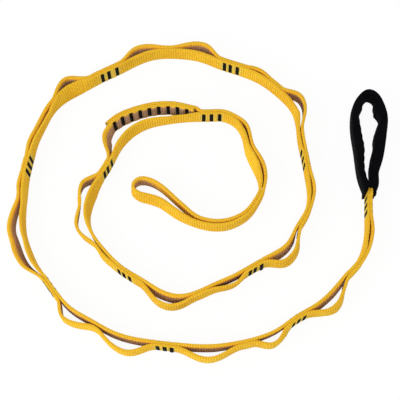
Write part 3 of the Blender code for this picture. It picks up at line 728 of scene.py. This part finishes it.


# Both runs of the loop, to a little past the fold, are one piece
roots = bmesh.new()
for root_tape in (
    lay_tape("end_root_out", between(end_line, 0.0, root), 1, pressed=tack_pressed),
    lay_tape(
        "end_root_back", between(end_line, end_length - root, end_length), 1,
        start=end_length - root, pressed=[(root - place, face) for place, face in tack_pressed],
    ),
):
    roots.from_mesh(root_tape)
end_roots = show(finished(roots, "end_loop_roots_folding"), webbing_look)
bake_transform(end_roots)
long_line = between(end_line, root, end_length - root)
long_places = root + lengths_along(long_line)
long_lean = leaning(long_places, LOOP_LEAN_MM) + leaning(end_length - long_places, RETURN_LEAN_MM)
end_loop = show(
    lay_tape(
        "end_loop_webbing_long", long_line, 1, start=root, lean=long_lean,
        painted_light_above=([place - root for place in LOOP_BROWN_PLACES], LOOP_BROWN_TOP_SHARES),
    ),
    webbing_look,
)
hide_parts("end_loop_webbing")
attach(end_loop, "end_loop")

# Bar tacks: short dense bars of black zigzag stitching right through both layers of tape, three
# to a group and nine on the splice. Each shows the same satin bar on both outer faces.
BAR_HEIGHT = 0.0132
SATIN_WIDTH = 0.0027
THREAD_RADIUS = 0.00020
STITCH_PITCH = 0.00036
STITCH_RISE = 0.00032
STITCH_SIDES = 5
STITCH_STEPS = 7
BAR_PADDING = 0.00018
PADDING_WIDTH = 0.9 * SATIN_WIDTH
PADDING_HEIGHT = 0.98 * BAR_HEIGHT
PADDING_ROUNDING = 0.8 * BAR_PADDING
BAR_SEAT = LANE_PITCH / 2 + WOVEN_THICKNESS / 2 - TACK_PRESS
THREAD_DARK, THREAD_PALE = (0.003, 0.002, 0.002), (0.014, 0.009, 0.007)


def satin_bar():
    """One bar on the face at y = 0, its stitches arching out along +y, its length along z."""
    mesh = bmesh.new()
    padding = Matrix.Diagonal((PADDING_WIDTH, BAR_PADDING * 2, PADDING_HEIGHT, 1.0))
    bmesh.ops.create_cube(mesh, size=1.0, matrix=padding)
    bmesh.ops.bevel(
        mesh, geom=mesh.edges[:], offset=PADDING_ROUNDING, segments=2, profile=0.5,
        affect="EDGES", material=-1,
    )
    at_side = Matrix.Translation((SATIN_WIDTH / 2, 0.0, 0.0)) @ Matrix.Rotation(math.pi / 2, 4, "X")
    for k in range(round(BAR_HEIGHT / STITCH_PITCH)):
        before = set(mesh.verts)
        ring = bmesh.ops.create_circle(
            mesh, segments=STITCH_SIDES, radius=THREAD_RADIUS, matrix=at_side
        )["verts"]
        edges = {edge for vert in ring for edge in vert.link_edges}
        bmesh.ops.spin(
            mesh, geom=[*ring, *edges], cent=(0.0, 0.0, 0.0), axis=(0.0, 0.0, 1.0),
            angle=math.pi, steps=STITCH_STEPS, use_duplicate=False,
        )
        arch = [vert for vert in mesh.verts if vert not in before]
        # No two stitches are quite as wide, or stand out as far
        uneven = 1.0 + 0.07 * math.sin(7.3 * k) + 0.06 * math.sin(2.9 * k + 1.0)
        rise = STITCH_RISE / (SATIN_WIDTH / 2) * (1.0 + 0.10 * math.sin(5.1 * k))
        bmesh.ops.scale(mesh, vec=(uneven, rise, 1.0), verts=arch)
        for vert in arch:
            lean = vert.co.x / SATIN_WIDTH * STITCH_PITCH
            vert.co.z += (k + 0.5) * STITCH_PITCH - BAR_HEIGHT / 2 + lean
    bmesh.ops.holes_fill(mesh, edges=[edge for edge in mesh.edges if edge.is_boundary], sides=0)
    bmesh.ops.recalc_face_normals(mesh, faces=mesh.faces)
    return finished(mesh, "satin_bar")


def turned_to(middle, heading, lean):
    """A bar's place half-way up the tape, turned along it and leaning as its edges do."""
    upper, lower = lean
    turn = Matrix.Rotation(math.atan2(heading[1], heading[0]), 4, "Z")
    foot = Matrix.Translation((0.0, lower, 0.0))
    tip = Matrix.Rotation(-math.asin((upper - lower) / TAPE_WIDTH), 4, "X")
    half_up = Matrix.Translation((0.0, 0.0, TAPE_WIDTH / 2))
    return Matrix.Translation(Vector((*middle, 0.0))) @ turn @ foot @ tip @ half_up


def bars_at(name, places, bar):
    """Both faces of every bar in a group, as one mesh."""
    mesh = bmesh.new()
    seat = Matrix.Translation((0.0, BAR_SEAT, 0.0))
    for middle, heading, lean in places:
        for flip in (0.0, math.pi):
            copy = bar.copy()
            copy.transform(turned_to(middle, heading, lean) @ Matrix.Rotation(flip, 4, "Z") @ seat)
            mesh.from_mesh(copy)
            bpy.data.meshes.remove(copy)
    for face in mesh.faces:
        face.smooth = True
    return finished(mesh, name)


def thread_material():
    made, tree, shader = new_material("black_polyester_thread")
    here = tree.nodes.new("ShaderNodeTexCoord").outputs["Object"]
    fuzz = noise(tree, here, scale=2600.0, detail=3.0)
    colour = mixed(tree, THREAD_DARK, THREAD_PALE, ramp(tree, fuzz, 0.45, 0.75))
    link(tree, colour, shader.inputs["Base Color"])
    link(tree, sums(tree, "MULTIPLY_ADD", fuzz, 0.3, 0.45), shader.inputs["Roughness"])
    shader.inputs["Specular IOR Level"].default_value = 0.04
    raised(tree, shader, fuzz, strength=0.5, distance=0.00008)
    return made


thread_look = thread_material()
one_bar = satin_bar()
for number, group in enumerate(groups, 1):
    places = [
        (route.at(place, LANE_PITCH / 2), route.heading(place), leaning(place, INNER_LEAN_MM))
        for place in group
    ]
    name = f"group_{number:02d}_bar_tacks"
    sewn = show(bars_at(name, places, one_bar), thread_look)
    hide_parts(*[f"group_{number:02d}_bar_tack_{k + 1}" for k in range(len(group))])
    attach(sewn, "chain")
sewn = show(bars_at("splice_bar_tacks", splice_bars, one_bar), thread_look)
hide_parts(*[f"splice_bar_tack_{k + 1}" for k in range(SPLICE_BARS)])
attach(sewn, "chain")

# Sleeve: a loose tube of black woven fabric over the harness loop against abrasion, full and
# creased along the inside of the loop, and cut off raw at its two mouths.
SLEEVE_FULLNESS = 0.0033
# By the share of its length from mouth to mouth, how full the sleeve stands outside the loop and
# inside it, in SLEEVE_FULLNESS.
SLEEVE_FULLNESS_SHARES = [
    (0.00, 0.50, 0.00), (0.04, 0.40, -0.03), (0.08, 0.40, 0.04), (0.15, 0.50, 0.33),
    (0.19, 0.50, 0.62), (0.28, 0.46, 0.62), (0.33, 0.50, 0.25), (0.355, 0.50, 0.02),
    (0.40, 0.50, 0.65), (0.46, 0.38, 0.15), (0.54, 0.32, 0.00), (0.58, 0.38, 0.85),
    (0.61, 0.44, 1.05), (0.65, 0.56, 0.02), (0.69, 0.64, 0.55), (0.75, 0.72, 0.95),
    (0.80, 0.72, 0.68), (0.85, 0.68, 0.92), (0.90, 0.64, 0.55), (0.93, 0.60, 0.20),
    (0.965, 0.60, -0.03), (1.00, 0.60, 0.00),
]
SLEEVE_SIDES = 72
SLEEVE_STEP = 0.0006
SLEEVE_SQUARENESS = 0.5
SLEEVE_GIRTH = 0.040
WEAVE_PITCH = 0.0007
CREASE_DEPTH = 0.0003
CREASE_LENGTH = 0.0105
CREASE_BREAK_LENGTH = 0.0173
SMALL_CREASE_LENGTH = 0.0071
SMALL_CREASE_SHARE = 0.3
OUTSIDE_CREASE_SHARE = 0.05
MOUTH_HANG = 0.0026
LEFT_FLAP = 0.0068
RIGHT_FLAP = 0.0048
FRAY = 0.25
MOUTH_REACH = 0.009
CLOTH_DARK, CLOTH_PALE = (0.0006, 0.0007, 0.0011), (0.0016, 0.0017, 0.0026)
CLOTH_FLUFF = (0.005, 0.005, 0.007)


def sleeve_mesh(name, line, mouths):
    """The tube of cloth along the loop between its two mouths, as the outside of its walls."""
    lane = Lane(line)
    start, end = mouths
    data, share, around = flat_grid(name, round((end - start) / SLEEVE_STEP), SLEEVE_SIDES)
    angle = 2 * math.pi * np.round(around * SLEEVE_SIDES) / SLEEVE_SIDES
    side, rise = np.cos(angle), np.sin(angle)
    side = np.sign(side) * np.abs(side) ** SLEEVE_SQUARENESS
    rise = np.sign(rise) * np.abs(rise) ** SLEEVE_SQUARENESS
    places, *walls = np.array(SLEEVE_FULLNESS_SHARES).T
    reach = [mouth_width / 2 + SLEEVE_FULLNESS * np.interp(share, places, wall) for wall in walls]
    # The mouths are cut askew: the outside wall hangs down over the tape as a frayed flap
    near_mouth = np.clip(1 - np.minimum(share, 1 - share) * (end - start) / MOUTH_REACH, 0.0, 1.0)
    fray = 1 - FRAY + FRAY * np.sin(5 * angle) * np.cos(3 * angle + 1.0)
    longest = np.where(share < 0.5, LEFT_FLAP, RIGHT_FLAP)
    flap = (MOUTH_HANG + longest * fray * np.clip(side, 0.0, 1.0) ** 0.5) * near_mouth
    here = start + share * (end - start) + flap * np.where(share < 0.5, -1.0, 1.0)
    # Creases run askew across the inside wall and die out towards the folded top and bottom
    turn = here * 2 * math.pi
    crease = np.sin(turn / CREASE_LENGTH + 3.0 * rise) * np.sin(turn / CREASE_BREAK_LENGTH + 1.0)
    crease += SMALL_CREASE_SHARE * np.sin(turn / SMALL_CREASE_LENGTH - 2.0 * rise)
    creased = CREASE_DEPTH * crease * np.clip(-side, OUTSIDE_CREASE_SHARE, 1.0)
    away = side * (np.where(side > 0, *reach) + creased)
    flat = lane.at(here, 0.0) + unit(lane.left(here)) * away[:, None]
    half = TAPE_WIDTH / 2 + SLEEVE_CLEARANCE + SLEEVE_WALL
    values = {"sleeve_along": here, "sleeve_round": around}
    return rolled_up(data, np.column_stack([flat, half * (1 + rise)]), values, close_ends=False)


def sleeve_material():
    made, tree, shader = new_material("black_woven_sleeve")
    along = attribute(tree, "sleeve_along")
    round_it = times(tree, attribute(tree, "sleeve_round"), SLEEVE_GIRTH)
    place = tree.nodes.new("ShaderNodeCombineXYZ")
    link(tree, along, place.inputs[0])
    link(tree, round_it, place.inputs[1])
    weave = times(
        tree,
        sums(tree, "SINE", times(tree, along, 2 * math.pi / WEAVE_PITCH)),
        sums(tree, "SINE", times(tree, round_it, 2 * math.pi / WEAVE_PITCH)),
    )
    patches = noise(tree, place.outputs[0], scale=120.0, detail=4.0)
    fuzz = noise(tree, place.outputs[0], scale=2500.0, detail=2.0)
    colour = mixed(tree, CLOTH_DARK, CLOTH_PALE, ramp(tree, patches, 0.3, 0.7))
    colour = mixed(tree, colour, CLOTH_FLUFF, times(tree, ramp(tree, fuzz, 0.55, 0.8), 0.4))
    link(tree, colour, shader.inputs["Base Color"])
    shader.inputs["Roughness"].default_value = 0.9
    shader.inputs["Specular IOR Level"].default_value = 0.05
    relief = sums(tree, "MULTIPLY_ADD", weave, 0.5, fuzz)
    raised(tree, shader, relief, strength=0.6, distance=0.00015)
    return made


mouth_places = nearest(harness_line, [leg[-1] for leg in legs])
sleeve = show(
    sleeve_mesh("abrasion_sleeve", harness_line, mouth_places), sleeve_material()
)
cloth = sleeve.modifiers.new("cloth_thickness", "SOLIDIFY")
cloth.thickness = SLEEVE_WALL
cloth.offset = -1.0
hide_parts("protective_sleeve")
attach(sleeve, "harness_loop")

# Table, camera and light: the chain lies on a plain white table in a white room, seen from in
# front and high above, with a large lamp at the left and a smaller one over the camera.
TABLE_SIZE = 4.0
TABLE_WHITENESS = 0.93
ROOM_LIGHT = 0.7
CAMERA_DISTANCE = 0.814
CAMERA_ELEVATION = math.radians(70.6)
CAMERA_AIM_HEIGHT = 0.008
CAMERA_LENS = 91.5
CAMERA_SENSOR = 36.0


def plain_view(tree):
    """1 for what the camera sees straight, mirrored or through glass, 0 for the room's light."""
    ray = tree.nodes.new("ShaderNodeLightPath").outputs
    mirrored = sums(tree, "MAXIMUM", ray["Is Camera Ray"], ray["Is Glossy Ray"])
    return sums(tree, "MAXIMUM", mirrored, ray["Is Transmission Ray"])


mesh = bmesh.new()
bmesh.ops.create_grid(mesh, x_segments=1, y_segments=1, size=TABLE_SIZE / 2)
data = finished(mesh, "white_table")
table = bpy.data.objects.new("white_table", data)
bpy.context.scene.collection.objects.link(table)
white, tree, paint = new_material("white_table")
paint.inputs["Base Color"].default_value = (0.90, 0.90, 0.90, 1.0)
paint.inputs["Roughness"].default_value = 0.9
paint.inputs["Specular IOR Level"].default_value = 0.0
plain = tree.nodes.new("ShaderNodeEmission")
plain.inputs["Color"].default_value = (1.0, 1.0, 1.0, 1.0)
blend = tree.nodes.new("ShaderNodeMixShader")
link(tree, times(tree, plain_view(tree), TABLE_WHITENESS), blend.inputs[0])
link(tree, paint.outputs[0], blend.inputs[1])
link(tree, plain.outputs[0], blend.inputs[2])
link(tree, blend.outputs[0], tree.nodes["Material Output"].inputs["Surface"])
data.materials.append(white)

towards_camera = np.array([0.0, -math.cos(CAMERA_ELEVATION), math.sin(CAMERA_ELEVATION)])
aim = np.array([*coil_shift, CAMERA_AIM_HEIGHT])
eye = bpy.data.cameras.new("camera")
eye.lens = CAMERA_LENS
eye.sensor_width = CAMERA_SENSOR
camera = bpy.data.objects.new("camera", eye)
bpy.context.scene.collection.objects.link(camera)
camera.location = Vector(aim + towards_camera * CAMERA_DISTANCE)
camera.rotation_euler = (math.pi / 2 - CAMERA_ELEVATION, 0.0, 0.0)
bpy.context.scene.camera = camera

world = bpy.data.worlds.new("white_room")
bpy.context.scene.world = world
world.use_nodes = True
room = world.node_tree
room.nodes["Background"].inputs["Color"].default_value = (1.0, 1.0, 1.0, 1.0)
# The room lights the chain softly, and looks plain white to the camera
brightness = sums(room, "MAXIMUM", plain_view(room), ROOM_LIGHT)
link(room, brightness, room.nodes["Background"].inputs["Strength"])


def soft_lamp(name, place, size, watts):
    """A square lamp turned to the chain."""
    lamp = bpy.data.lights.new(name, "AREA")
    lamp.size = size
    lamp.energy = watts
    holder = bpy.data.objects.new(name, lamp)
    bpy.context.scene.collection.objects.link(holder)
    holder.location = place
    holder.rotation_euler = (Vector(aim) - Vector(place)).to_track_quat("-Z", "Y").to_euler()


soft_lamp("key_lamp", (-1.00, -0.50, 0.75), 0.9, 10.0)
soft_lamp("high_lamp", (0.1, -0.50, 1.20), 0.6, 4.0)

bpy.context.scene.view_settings.view_transform = "Standard"
